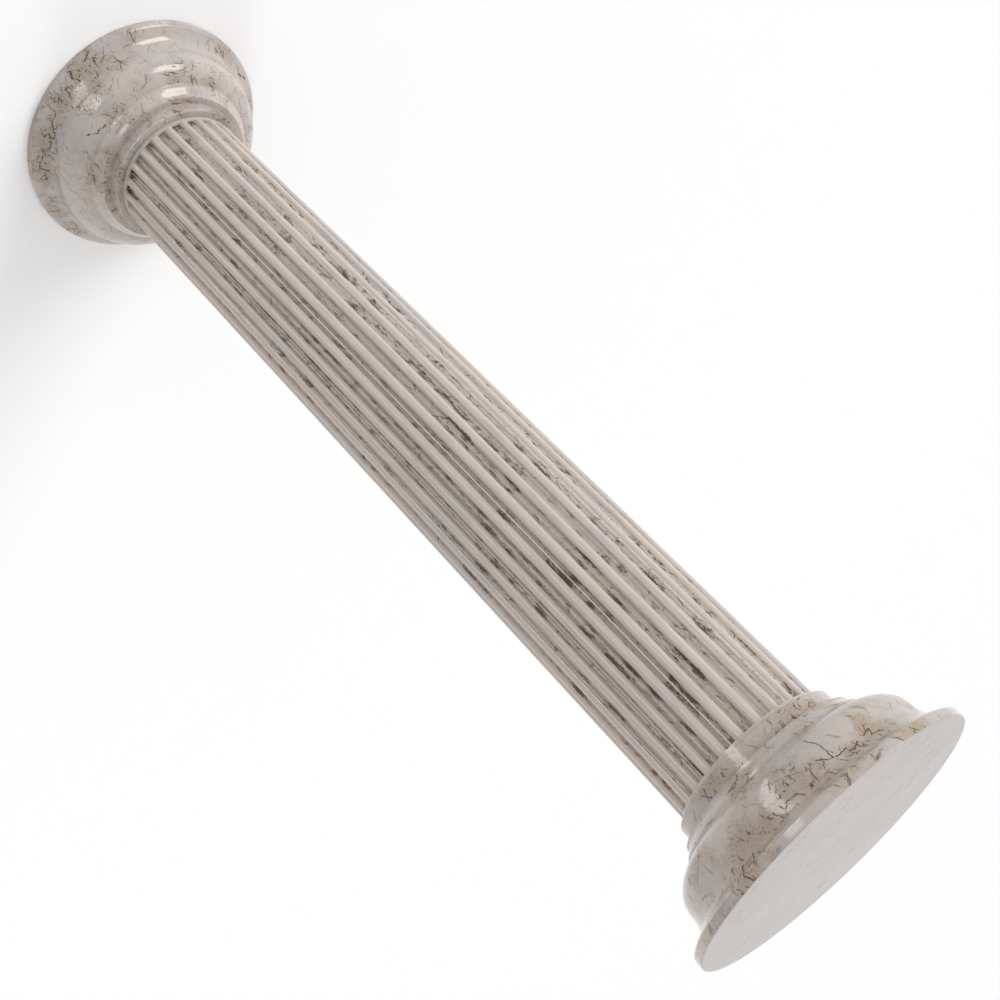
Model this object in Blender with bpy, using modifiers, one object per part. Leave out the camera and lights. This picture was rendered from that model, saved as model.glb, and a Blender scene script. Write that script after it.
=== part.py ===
"""A fluted marble column in three stones: a round moulded base, a fluted shaft and a matching capital.

Metres, +Z up. The origin is the centre of the underside of the base.
"""
import math

import bmesh
import bpy
from mathutils import Vector

# Whole column
COLUMN_HEIGHT = 2.400
JOINT_GAP = 0.0003

# Rim: the thin disc at the outer end of the base and of the capital
RIM_RADIUS = 0.3090
RIM_HEIGHT = 0.0185
RIM_ARRIS = 0.0018

# Cove: the hollow curve that sweeps in from the rim to the neck
LIP_STEP = 0.0020
LIP_WIDTH = 0.0022
NECK_RADIUS = 0.2646
COVE_HEIGHT = 0.0536

# Shoulder: the swelling curve that turns in below the neck
SHOULDER_FOOT_RADIUS = 0.2127
SHOULDER_HEIGHT = 0.0600

# Cyma: the small double curve between the shoulder and the fillet
FILLET_RADIUS = 0.1940
CYMA_HEIGHT = 0.0258
FILLET_HEIGHT = 0.0026

# Ring: the plain band next to the shaft
RING_RADIUS = 0.1771
RING_HEIGHT = 0.0340
RING_ARRIS = 0.0012

# Shaft
SHAFT_RADIUS = 0.1615
SHAFT_BAND_HEIGHT = 0.0112
FLUTE_COUNT = 24
FLUTE_DEPTH = 0.0125
RIB_RADIUS = 0.0112
CREST_SETBACK = 0.0002

# How the curves leave and meet their ends, as (depth, height) shares of their own depth and height
COVE_LIP_LEAN = (0.17, 0.13)
COVE_NECK_LEAN = (0.00, 0.83)
SHOULDER_NECK_LEAN = (0.00, 0.37)
SHOULDER_FOOT_LEAN = (0.79, 0.24)
CYMA_FOOT_LEAN = (0.00, 0.35)
CYMA_FILLET_LEAN = (0.00, 0.30)

# How finely the curves are cut
TURNING_STEPS = 64
BAND_SIDES = 96
COVE_POINTS = 7
SHOULDER_POINTS = 8
CYMA_POINTS = 5
ARC_POINTS = 4

MERGE_DISTANCE = 0.00001
SHARP_ANGLE = math.radians(32)

# Stone colours, as linear red, green and blue
BASE_STONE = (0.43, 0.37, 0.33)
SHAFT_STONE = (0.46, 0.40, 0.36)
CAPITAL_STONE = (0.44, 0.38, 0.34)
POLISH_ROUGHNESS = 0.22


def clear_scene():
    """Remove every object that the file opened with."""
    for item in list(bpy.data.objects):
        bpy.data.objects.remove(item, do_unlink=True)


def make_collection(name):
    """Return a new collection linked to the scene."""
    collection = bpy.data.collections.new(name)
    bpy.context.scene.collection.children.link(collection)
    return collection


def make_stone(name, colour):
    """Return a polished stone material of one colour."""
    stone = bpy.data.materials.new(name)
    stone.use_nodes = True
    shader = stone.node_tree.nodes["Principled BSDF"]
    shader.inputs["Base Color"].default_value = (*colour, 1.0)
    shader.inputs["Roughness"].default_value = POLISH_ROUGHNESS
    shader.inputs["Metallic"].default_value = 0.0
    stone.diffuse_color = (*colour, 1.0)
    return stone


def curve_points(start, end, start_lean, end_lean, count):
    """Return count points along a cubic curve, the start left out and the end kept.

    Each lean says how far the curve pulls away from that end before it turns, as shares of its extent.
    """
    extent = Vector(end) - Vector(start)
    handles = (
        Vector(start),
        Vector(start) + Vector((extent.x * start_lean[0], extent.y * start_lean[1])),
        Vector(end) - Vector((extent.x * end_lean[0], extent.y * end_lean[1])),
        Vector(end),
    )
    points = []
    for step in range(1, count + 1):
        t = step / count
        weights = ((1 - t)**3, 3 * (1 - t)**2 * t, 3 * (1 - t) * t**2, t**3)
        place = sum((handle * weight for handle, weight in zip(handles, weights)), Vector((0.0, 0.0)))
        points.append((place.x, place.y))
    return points


def end_block_height():
    """Return the height of the base, which is also the height of the capital."""
    return RIM_HEIGHT + LIP_STEP + COVE_HEIGHT + SHOULDER_HEIGHT + CYMA_HEIGHT + FILLET_HEIGHT + RING_HEIGHT


def end_block_profile():
    """Return (radius, height) points up the outside of the base, from its underside to the shaft joint."""
    lip_height = RIM_HEIGHT + LIP_STEP
    neck_height = lip_height + COVE_HEIGHT
    shoulder_foot = neck_height + SHOULDER_HEIGHT
    cyma_foot = shoulder_foot + CYMA_HEIGHT
    ring_foot = cyma_foot + FILLET_HEIGHT
    top = end_block_height()

    points = [
        (0.0, 0.0),
        (RIM_RADIUS - RIM_ARRIS, 0.0),
        (RIM_RADIUS, RIM_ARRIS),
        (RIM_RADIUS, RIM_HEIGHT - RIM_ARRIS),
        (RIM_RADIUS - RIM_ARRIS, RIM_HEIGHT),
    ]

    lip = (RIM_RADIUS - RIM_ARRIS - LIP_WIDTH, lip_height)
    neck = (NECK_RADIUS, neck_height)
    foot = (SHOULDER_FOOT_RADIUS, shoulder_foot)
    fillet = (FILLET_RADIUS, cyma_foot)
    points.append(lip)
    points += curve_points(lip, neck, COVE_LIP_LEAN, COVE_NECK_LEAN, COVE_POINTS)
    points += curve_points(neck, foot, SHOULDER_NECK_LEAN, SHOULDER_FOOT_LEAN, SHOULDER_POINTS)
    points += curve_points(foot, fillet, CYMA_FOOT_LEAN, CYMA_FILLET_LEAN, CYMA_POINTS)
    points += [
        (FILLET_RADIUS, ring_foot),
        (RING_RADIUS, ring_foot),
        (RING_RADIUS, top - RING_ARRIS),
        (RING_RADIUS - RING_ARRIS, top),
        (0.0, top),
    ]
    return points


def turn_profile(name, profile):
    """Return an object that turns a (radius, height) profile about the Z axis."""
    mesh = bpy.data.meshes.new(name)
    shape = bmesh.new()
    downward = [shape.verts.new((radius, 0.0, height)) for radius, height in reversed(profile)]
    for upper, lower in zip(downward, downward[1:]):
        shape.edges.new((upper, lower))
    shape.to_mesh(mesh)
    shape.free()

    turned = bpy.data.objects.new(name, mesh)
    screw = turned.modifiers.new("turning", "SCREW")
    screw.axis = "Z"
    screw.angle = math.tau
    screw.steps = TURNING_STEPS
    screw.render_steps = TURNING_STEPS
    screw.use_merge_vertices = True
    screw.merge_threshold = MERGE_DISTANCE
    screw.use_smooth_shade = True
    return turned


def build_end_block(name, stone, collection):
    """Return a base block that stands on its rim at the origin."""
    block = turn_profile(name, end_block_profile())
    block.data.materials.append(stone)
    collection.objects.link(block)
    return block


def fluted_outline():
    """Return the shaft's section: half round ribs joined by concave flutes in one smooth wave."""
    half_pitch = math.pi / FLUTE_COUNT
    rib_orbit = SHAFT_RADIUS - CREST_SETBACK - RIB_RADIUS
    flute_floor = SHAFT_RADIUS - FLUTE_DEPTH
    across = rib_orbit * math.cos(half_pitch)

    # The flute's arc touches both of its ribs, which settles its radius
    reach = rib_orbit**2 + flute_floor**2 - 2 * flute_floor * across - RIB_RADIUS**2
    flute_radius = reach / (2 * (RIB_RADIUS + across - flute_floor))
    flute_orbit = flute_floor + flute_radius
    tangent = math.atan2(flute_orbit * math.sin(half_pitch), flute_orbit * math.cos(half_pitch) - rib_orbit)

    points = []
    for index in range(FLUTE_COUNT):
        rib_angle = 2 * half_pitch * index
        rib_centre = Vector((math.cos(rib_angle), math.sin(rib_angle))) * rib_orbit
        for step in range(-ARC_POINTS, ARC_POINTS + 1):
            turn = rib_angle + tangent * step / ARC_POINTS
            points.append(rib_centre + Vector((math.cos(turn), math.sin(turn))) * RIB_RADIUS)

        flute_angle = rib_angle + half_pitch
        flute_centre = Vector((math.cos(flute_angle), math.sin(flute_angle))) * flute_orbit
        sweep = tangent - half_pitch
        for step in range(1 - ARC_POINTS, ARC_POINTS):
            turn = flute_angle + math.pi - sweep * step / ARC_POINTS
            points.append(flute_centre + Vector((math.cos(turn), math.sin(turn))) * flute_radius)
    return points


def extrude_outline(name, outline, bottom, top, collection):
    """Return a mesh object that fills an outline between two heights."""
    curve = bpy.data.curves.new(name + "_outline", "CURVE")
    curve.dimensions = "2D"
    curve.fill_mode = "BOTH"
    curve.extrude = (top - bottom) / 2
    spline = curve.splines.new("POLY")
    spline.points.add(len(outline) - 1)
    for point, place in zip(spline.points, outline):
        point.co = (place.x, place.y, 0.0, 1.0)
    spline.use_cyclic_u = True

    drawn = bpy.data.objects.new(name + "_outline", curve)
    drawn.location.z = (top + bottom) / 2
    collection.objects.link(drawn)
    bpy.context.view_layer.update()
    evaluated = drawn.evaluated_get(bpy.context.evaluated_depsgraph_get())
    mesh = bpy.data.meshes.new_from_object(evaluated)
    shape = bmesh.new()
    shape.from_mesh(mesh)
    bmesh.ops.remove_doubles(shape, verts=shape.verts, dist=MERGE_DISTANCE)
    shape.to_mesh(mesh)
    shape.free()

    solid = bpy.data.objects.new(name, mesh)
    solid.matrix_world = drawn.matrix_world
    collection.objects.link(solid)
    bpy.data.objects.remove(drawn, do_unlink=True)
    return solid


def add_band(name, centre_height, collection):
    """Return a plain round band that closes one end of the flutes."""
    bpy.ops.mesh.primitive_cylinder_add(
        vertices=BAND_SIDES, radius=SHAFT_RADIUS, depth=SHAFT_BAND_HEIGHT, location=(0, 0, centre_height))
    band = bpy.context.object
    band.name = name
    for owner in list(band.users_collection):
        owner.objects.unlink(band)
    collection.objects.link(band)
    band.hide_render = True
    band.display_type = "WIRE"
    return band


def build_shaft(name, length, stone, collection, cutters):
    """Return the fluted shaft, standing on the plane z = 0, with a plain band at each end."""
    half_band = SHAFT_BAND_HEIGHT / 2
    shaft = extrude_outline(name, fluted_outline(), half_band, length - half_band, collection)
    shaft.data.materials.clear()
    shaft.data.materials.append(stone)
    for end, centre_height in (("lower", half_band), ("upper", length - half_band)):
        band = add_band(end + "_band", centre_height, cutters)
        union = shaft.modifiers.new(end + " band", "BOOLEAN")
        union.operation = "UNION"
        union.solver = "EXACT"
        union.object = band
        band.parent = shaft
        band.matrix_parent_inverse = shaft.matrix_world.inverted()
    shaft.data.shade_smooth()
    shaft.data.set_sharp_from_angle(angle=SHARP_ANGLE)
    return shaft


def main():
    """Build the three stones and stack them."""
    clear_scene()
    column = make_collection("doric_column")
    cutters = make_collection("cutters")
    axis = bpy.data.objects.new("column_axis", None)
    column.objects.link(axis)

    base = build_end_block("base", make_stone("base_stone", BASE_STONE), column)

    joint_height = end_block_height() + JOINT_GAP
    shaft_length = COLUMN_HEIGHT - 2 * joint_height
    shaft = build_shaft("shaft", shaft_length, make_stone("shaft_stone", SHAFT_STONE), column, cutters)
    shaft.location.z += joint_height

    # The capital is the base's form turned over
    capital = build_end_block("capital", make_stone("capital_stone", CAPITAL_STONE), column)
    capital.rotation_euler.x = math.pi
    capital.location.z = COLUMN_HEIGHT

    for stone in (base, shaft, capital):
        stone.parent = axis


main()
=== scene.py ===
"""Looks of a fluted marble column: a moulded base, a fluted shaft and a matching capital.

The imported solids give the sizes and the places. Three finer meshes stand for them, each
turned or carved row by row, and each in its own polished marble.
"""

import logging
import math
from dataclasses import dataclass, replace
from enum import Enum
from typing import Callable, Dict, List, Mapping, Optional, Sequence, Tuple, Union

import bpy
import numpy as np
from mathutils import Matrix, Vector

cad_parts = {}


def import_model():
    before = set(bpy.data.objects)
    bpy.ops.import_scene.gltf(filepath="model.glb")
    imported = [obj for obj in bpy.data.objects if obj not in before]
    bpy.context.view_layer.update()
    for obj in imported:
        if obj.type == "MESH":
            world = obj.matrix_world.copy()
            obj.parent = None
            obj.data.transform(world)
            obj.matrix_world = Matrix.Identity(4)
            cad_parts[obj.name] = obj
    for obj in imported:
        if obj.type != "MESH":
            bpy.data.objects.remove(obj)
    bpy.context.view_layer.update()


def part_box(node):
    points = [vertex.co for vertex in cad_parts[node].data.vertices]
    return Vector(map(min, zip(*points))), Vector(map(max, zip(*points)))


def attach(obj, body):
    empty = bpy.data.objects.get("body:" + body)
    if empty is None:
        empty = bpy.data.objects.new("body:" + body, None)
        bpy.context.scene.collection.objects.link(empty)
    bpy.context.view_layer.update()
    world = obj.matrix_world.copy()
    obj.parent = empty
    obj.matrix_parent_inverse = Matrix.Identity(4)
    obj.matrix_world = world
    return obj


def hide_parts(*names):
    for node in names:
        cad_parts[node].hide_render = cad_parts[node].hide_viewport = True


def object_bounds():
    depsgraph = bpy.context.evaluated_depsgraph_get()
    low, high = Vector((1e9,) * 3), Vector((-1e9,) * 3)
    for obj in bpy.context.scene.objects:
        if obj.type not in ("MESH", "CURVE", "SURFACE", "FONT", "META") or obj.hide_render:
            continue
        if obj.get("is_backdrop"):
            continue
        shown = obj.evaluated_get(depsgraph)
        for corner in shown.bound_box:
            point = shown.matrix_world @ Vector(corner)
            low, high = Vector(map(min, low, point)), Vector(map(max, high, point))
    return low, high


LOG = logging.getLogger("column")

ROOT_BODY = "root"

Colour = Tuple[float, float, float]
Triple = Tuple[float, float, float]
Pair = Tuple[float, float]
Socket = bpy.types.NodeSocket

# Stored under "gather" on the flat end faces, and where their mask fades out
END_FACE_MARK = -0.7
END_FACE_FADE = (-0.6, -0.3)

# How thickly marks may gather where patches overlap
MOST_GATHERED = 1.5

# Mixes a cell's colour into one number that decides whether the cell holds a crack
CHANCE_WEIGHTS = (7.3, 3.1, 11.7)

# The front panels on the floor: where each ends, how high they lie, and the standing one
STRIP_EDGES = (0.33, 0.50, 0.75, 1.10, 1.60, 2.30, 3.20)
STRIP_LIFT = 0.012
STRIP_END_MIDDLE = 0.95
STRIP_END_HEIGHT = 1.86


class Side(Enum):
    """Which end of the column a block closes."""

    FOOT = "base"
    HEAD = "capital"


class Noise(Enum):
    """How a noise texture is put to use."""

    VALUE = "Fac"
    COLOUR = "Color"


class Value:
    """A number that varies over a surface, held by one socket of a shader tree."""

    def __init__(self, wiring: "Wiring", socket: Socket) -> None:
        """Keep the tree and the socket.

        Args:
            wiring: The tree that the socket is in.
            socket: The output that gives the number.
        """
        self.wiring = wiring
        self.socket = socket

    def _math(self, operation: str, *terms: "Term", clamp: bool = False) -> "Value":
        """Return a Math node's result.

        Args:
            operation: The node's operation.
            terms: The numbers or values for its inputs, in order.
            clamp: Whether the result is held between 0 and 1.

        Returns:
            The node's output.
        """
        made = self.wiring.node(
            "ShaderNodeMath", {"operation": operation, "use_clamp": clamp}, dict(enumerate(terms)))
        return Value(self.wiring, made.outputs[0])

    def __add__(self, other: "Term") -> "Value":
        """Return the sum."""
        return self._math("ADD", self, other)

    def __radd__(self, other: "Term") -> "Value":
        """Return the sum, the number first."""
        return self._math("ADD", other, self)

    def __sub__(self, other: "Term") -> "Value":
        """Return the difference."""
        return self._math("SUBTRACT", self, other)

    def __rsub__(self, other: "Term") -> "Value":
        """Return the difference, the number first."""
        return self._math("SUBTRACT", other, self)

    def __mul__(self, other: "Term") -> "Value":
        """Return the product."""
        return self._math("MULTIPLY", self, other)

    def __rmul__(self, other: "Term") -> "Value":
        """Return the product, the number first."""
        return self._math("MULTIPLY", other, self)

    def __truediv__(self, other: "Term") -> "Value":
        """Return the quotient."""
        return self._math("DIVIDE", self, other)

    def __rtruediv__(self, other: "Term") -> "Value":
        """Return the quotient, the number first."""
        return self._math("DIVIDE", other, self)

    def __abs__(self) -> "Value":
        """Return the size without its sign."""
        return self._math("ABSOLUTE", self)

    def angle(self, ahead: "Term") -> "Value":
        """Return the angle of a point that is this far across and that far ahead, in radians."""
        return self._math("ARCTAN2", self, ahead)

    def least(self, other: "Term") -> "Value":
        """Return the smaller of the two."""
        return self._math("MINIMUM", self, other)

    def most(self, other: "Term") -> "Value":
        """Return the larger of the two."""
        return self._math("MAXIMUM", self, other)

    def fraction(self) -> "Value":
        """Return what is left above the whole number below."""
        return self._math("FRACT", self)

    def held(self) -> "Value":
        """Return the number held between 0 and 1."""
        return self._math("ADD", self, 0.0, clamp=True)

    def rise(self, low: "Term", high: "Term") -> "Value":
        """Return a smooth step.

        Args:
            low: Where the step starts from 0.
            high: Where the step reaches 1.

        Returns:
            0 below low, 1 above high, and smooth between.
        """
        made = self.wiring.node(
            "ShaderNodeMapRange", {"interpolation_type": "SMOOTHSTEP"},
            {"Value": self, "From Min": low, "From Max": high})
        return Value(self.wiring, made.outputs["Result"])

    def fall(self, low: "Term", high: "Term") -> "Value":
        """Return a smooth step down, from 1 at low to 0 at high."""
        return 1.0 - self.rise(low, high)


Term = Union[float, Value]
Link = Union[Value, Socket, float, Sequence[float]]


class Wiring:
    """A material and its shader tree, and the few ways in which nodes are put in it."""

    def __init__(self, name: str) -> None:
        """Make the material.

        Args:
            name: The material's name.
        """
        self.material = bpy.data.materials.new(name)
        self.material.use_nodes = True
        self.tree = self.material.node_tree
        self.shader = self.tree.nodes["Principled BSDF"]

    def node(self, kind: str, settings: Optional[Mapping[str, object]] = None,
             inputs: Optional[Mapping[Union[str, int], Link]] = None) -> bpy.types.Node:
        """Add a node.

        Args:
            kind: The node's type name.
            settings: Its properties, set first.
            inputs: Its sockets by name or number, each a number, a vector or a link.

        Returns:
            The new node.
        """
        made = self.tree.nodes.new(kind)
        for name, value in (settings or {}).items():
            setattr(made, name, value)
        for name, value in (inputs or {}).items():
            self.join(value, made.inputs[name])
        return made

    def join(self, value: Link, socket: Socket) -> None:
        """Link or set one input.

        Args:
            value: What the input gets.
            socket: The input.
        """
        if isinstance(value, Value):
            self.tree.links.new(value.socket, socket)
        elif isinstance(value, Socket):
            self.tree.links.new(value, socket)
        else:
            socket.default_value = value

    def value(self, socket: Socket) -> Value:
        """Return a socket wrapped as a number."""
        return Value(self, socket)

    def attribute(self, name: str) -> Value:
        """Return a number stored on the mesh's points."""
        made = self.node("ShaderNodeAttribute", {"attribute_name": name})
        return self.value(made.outputs["Fac"])

    def place(self) -> Socket:
        """Return the point's place on the column, in metres."""
        return self.node("ShaderNodeTexCoord").outputs["Object"]

    def vector(self, operation: str, *terms: Link) -> Socket:
        """Return a Vector Math node's vector.

        Args:
            operation: The node's operation.
            terms: Its inputs in order.

        Returns:
            The vector output.
        """
        made = self.node("ShaderNodeVectorMath", {"operation": operation}, dict(enumerate(terms)))
        return made.outputs["Vector"]

    def measure(self, operation: str, *terms: Link) -> Value:
        """Return a Vector Math node's number, such as a length or a dot product."""
        made = self.node("ShaderNodeVectorMath", {"operation": operation}, dict(enumerate(terms)))
        return self.value(made.outputs["Value"])

    def stretched(self, vector: Link, amount: Term) -> Socket:
        """Return a vector times a number."""
        made = self.node("ShaderNodeVectorMath", {"operation": "SCALE"},
                         {0: vector, "Scale": amount})
        return made.outputs["Vector"]

    def away_from(self, place: Link, start: Triple, end: Triple) -> Value:
        """Return how far a place is from the straight line between two points.

        Args:
            place: The place.
            start: The line's first point.
            end: Its last.

        Returns:
            The distance in metres.
        """
        run = Vector(end) - Vector(start)
        leg = self.vector("SUBTRACT", place, start)
        share = self.measure("DOT_PRODUCT", leg, tuple(run / run.length_squared)).held()
        return self.measure("DISTANCE", leg, self.stretched(tuple(run), share))

    def scatter(self, feature: str, place: Link, cells: float) -> bpy.types.Node:
        """Return a node that reads scattered cells, this many to the metre."""
        return self.node("ShaderNodeTexVoronoi", {"voronoi_dimensions": "3D", "feature": feature},
                         {"Vector": place, "Scale": cells})

    def network(self, place: Link, cells: float, width: float) -> Value:
        """Return thin lines along the borders of scattered cells.

        Args:
            place: Where the pattern is read.
            cells: Cells to the metre.
            width: The lines' half width in metres.

        Returns:
            1 on a line and 0 outside.
        """
        made = self.scatter("DISTANCE_TO_EDGE", place, cells)
        return self.value(made.outputs["Distance"]).fall(width * cells * 0.4, width * cells)

    def noise(self, place: Link, scale: float, detail: float = 2.0, roughness: float = 0.5,
              use: Noise = Noise.VALUE) -> Union[Value, Socket]:
        """Return a noise texture.

        Args:
            place: Where it is read.
            scale: Lumps to the metre.
            detail: Octaves.
            roughness: How strong the finer octaves are.
            use: Whether its number or its colour is wanted.

        Returns:
            The number as a value, or the colour's socket.
        """
        made = self.node("ShaderNodeTexNoise", {"noise_dimensions": "3D"}, {
            "Vector": place, "Scale": scale, "Detail": detail, "Roughness": roughness})
        socket = made.outputs[use.value]
        return self.value(socket) if use is Noise.VALUE else socket

    def blend(self, share: Term, first: Link, second: Link, mode: str = "MIX") -> Socket:
        """Return two colours mixed.

        Args:
            share: How much of the second.
            first: The colour underneath.
            second: The colour on top.
            mode: The blend mode.

        Returns:
            The mixed colour.
        """
        def padded(colour: Link) -> Link:
            """Return a plain colour with its alpha."""
            return (*colour, 1.0) if isinstance(colour, tuple) else colour

        made = self.node("ShaderNodeMix", {"data_type": "RGBA", "blend_type": mode},
                         {0: share, 6: padded(first), 7: padded(second)})
        return made.outputs[2]


@dataclass(frozen=True)
class Strokes:
    """Short hairline cracks: at most one in each cell of a scattering.

    Attributes:
        cells: Cells to the metre.
        reach: Half a crack's length in metres.
        width: A crack's width in metres.
        share: How many of the cells hold one, from 0 to 1.
        lean: How far the cracks' planes may turn to each axis.
        shift: Moves the scattering, so that two layers differ.
    """

    cells: float
    reach: float
    width: float
    share: float
    lean: Triple = (1.0, 1.0, 0.5)
    shift: float = 0.0

    def draw(self, wiring: Wiring, place: Link) -> Value:
        """Wire the cracks.

        Args:
            wiring: The tree.
            place: Where the pattern is read, already bent.

        Returns:
            1 in a crack and 0 outside.
        """
        spot = wiring.vector("ADD", place, (self.shift, self.shift * 0.7, self.shift * 1.3))
        cell = wiring.scatter("F1", spot, self.cells)
        away = wiring.vector("SUBTRACT", spot, cell.outputs["Position"])
        chance = wiring.vector("SUBTRACT", cell.outputs["Color"], (0.5, 0.5, 0.5))
        plane = wiring.vector("NORMALIZE", wiring.vector("MULTIPLY", chance, self.lean))
        across = abs(wiring.measure("DOT_PRODUCT", away, plane))
        drawn = wiring.measure("DOT_PRODUCT", cell.outputs["Color"], CHANCE_WEIGHTS).fraction()
        far = wiring.measure("LENGTH", away)
        line = across.fall(self.width * 0.35, self.width)
        near = far.fall(self.reach * 0.55, self.reach)
        return line * near * drawn.fall(self.share - 0.02, self.share)


@dataclass(frozen=True)
class Crack:
    """A crack that is given point by point: a broken line over the surface.

    Attributes:
        corners: The bearing in degrees and the height in metres of each corner.
        width: Half its width in metres.
    """

    corners: Tuple[Pair, ...]
    width: float = 0.0013

    def laid_out(self, radius: float) -> "Line":
        """Return the crack's points at a distance from the axis, and its half width."""
        points = [round_place(bearing, radius, height) for bearing, height in self.corners]
        return points, self.width


@dataclass(frozen=True)
class Patch:
    """A soft patch, listed one by one, where cracks or stains gather.

    Attributes:
        bearing: Its direction from the axis in degrees.
        height: Its height in metres.
        along: Half its extent along the height, in metres.
        weight: How thickly they gather there.
        across: Half its extent round the column, in metres.
    """

    bearing: float
    height: float
    along: float
    weight: float = 1.0
    across: float = 0.005


Line = Tuple[Sequence[Triple], float]


@dataclass(frozen=True)
class Marble:
    """A polished marble: a soft ground, brown patches, hairline cracks, knots and specks.

    Attributes:
        name: The material's name.
        slot: The record's slot; it is not used.
        pale: The ground's lighter colour.
        cool: Its lavender colour.
        warm: The brown where cracks gather, also laid in the hollows as dirt and partly as painted
            shade.
        vein: The grey of its faint veins.
        crack: A crack's colour.
        browning: How strong the brown is.
        roughness: Of the clean stone.
        radius: Where the cracks set by hand are laid out, in metres from the axis.
    """

    name: str
    slot: str
    pale: Colour = (0.445, 0.392, 0.356)
    cool: Colour = (0.400, 0.366, 0.352)
    warm: Colour = (0.330, 0.266, 0.212)
    vein: Colour = (0.250, 0.236, 0.240)
    crack: Colour = (0.060, 0.038, 0.020)
    browning: float = 0.70
    roughness: float = 0.085
    radius: float = 0.265

    def make(self, lines: Sequence[Line]) -> bpy.types.Material:
        """Build the material.

        Args:
            lines: The listed cracks, as points and half widths.

        Returns:
            The finished material.
        """
        wiring = Wiring(self.name)
        place = wiring.place()
        bent = self._bent(wiring, place, 60.0, 0.014)
        hollow = wiring.attribute("hollow")
        marked = wiring.attribute("gather")
        gather = wiring.noise(place, 11.0, 3.0, 0.6) + marked * 0.15
        thick = gather.rise(0.50, 0.66)
        end_face = marked.fall(*END_FACE_FADE)

        ground = self._ground(wiring, place, gather, hollow)
        veins = self._veins(wiring, bent)
        ground = wiring.blend(veins * (end_face * 0.25 + 0.6), ground, self.vein)
        cracks = self._cracks(wiring, bent, place, thick) * (1.0 - end_face * 0.75)
        crooked = self._bent(wiring, self._rolled_out(wiring, place), 150.0, 0.006)
        cracks = cracks.most(self._set_cracks(wiring, crooked, lines))
        ground = wiring.blend(cracks, ground, self.crack)
        wiring.join(ground, wiring.shader.inputs["Base Color"])

        smears = wiring.noise(place, 38.0, 4.0, 0.6)
        rough = self.roughness + smears * 0.06 + cracks * 0.35
        wiring.join(rough, wiring.shader.inputs["Roughness"])
        self._bump(wiring, wiring.noise(place, 45.0, 2.0) * 0.1)
        return wiring.material

    @staticmethod
    def _bent(wiring: Wiring, place: Link, scale: float, reach: float) -> Socket:
        """Return the place pushed about by a noise, so that lines read there are crooked.

        Args:
            wiring: The tree.
            place: The place.
            scale: The noise's lumps to the metre.
            reach: How far it pushes, in metres.

        Returns:
            The bent place.
        """
        wander = wiring.noise(place, scale, 2.0, use=Noise.COLOUR)
        push = wiring.stretched(wiring.vector("SUBTRACT", wander, (0.5, 0.5, 0.5)), reach)
        return wiring.vector("ADD", place, push)

    def _rolled_out(self, wiring: Wiring, place: Link) -> Socket:
        """Move a place straight out or in to the pattern's radius.

        Args:
            wiring: The tree.
            place: The place.

        Returns:
            The moved place.
        """
        level = wiring.vector("NORMALIZE", wiring.vector("MULTIPLY", place, (1.0, 1.0, 0.0)))
        height = wiring.vector("MULTIPLY", place, (0.0, 0.0, 1.0))
        return wiring.vector("ADD", wiring.stretched(level, self.radius), height)

    @staticmethod
    def _bump(wiring: Wiring, height: Value) -> None:
        """Turn a height into the surface's fine relief and set the stone's gloss.

        Args:
            wiring: The tree.
            height: The height, as a share of the bump's distance.
        """
        bump = wiring.node("ShaderNodeBump", None, {
            "Strength": 0.5, "Distance": 0.0006, "Height": height})
        wiring.join(bump.outputs["Normal"], wiring.shader.inputs["Normal"])
        wiring.shader.inputs["IOR"].default_value = 1.5

    def _ground(self, wiring: Wiring, place: Link, gather: Value, hollow: Value) -> Socket:
        """Wire the ground: pale, lavender and brown, browner in the hollows as dirt and partly as
        painted shade.

        Args:
            wiring: The tree.
            place: Where the pattern is read.
            gather: How thickly cracks gather.
            hollow: How deep in a hollow the point is.

        Returns:
            The ground colour.
        """
        elsewhere = wiring.noise(wiring.vector("ADD", place, (3.0, 1.0, 2.0)), 8.0, 3.0, 0.5)
        mottle = wiring.noise(place, 60.0, 4.0, 0.6)
        ground = wiring.blend(elsewhere.rise(0.42, 0.60) * 0.85, self.pale, self.cool)
        # Browner in the hollows: partly dirt, partly painted shade
        brown = (gather + (mottle - 0.5) * 0.16).rise(0.44, 0.76) * self.browning + hollow * 0.25
        ground = wiring.blend(brown.held(), ground, self.warm)
        return wiring.blend(mottle.rise(0.5, 0.7) * 0.10, ground, self.vein)

    def _veins(self, wiring: Wiring, bent: Link) -> Value:
        """Wire faint soft veins.

        Args:
            wiring: The tree.
            bent: Where the pattern is read.

        Returns:
            1 on a vein and 0 outside.
        """
        field = wiring.noise(bent, 14.0, 4.0, 0.62)
        line = abs(field - 0.5).fall(0.0, 0.020)
        return line * wiring.noise(bent, 19.0, 2.0).rise(0.52, 0.62)

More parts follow.
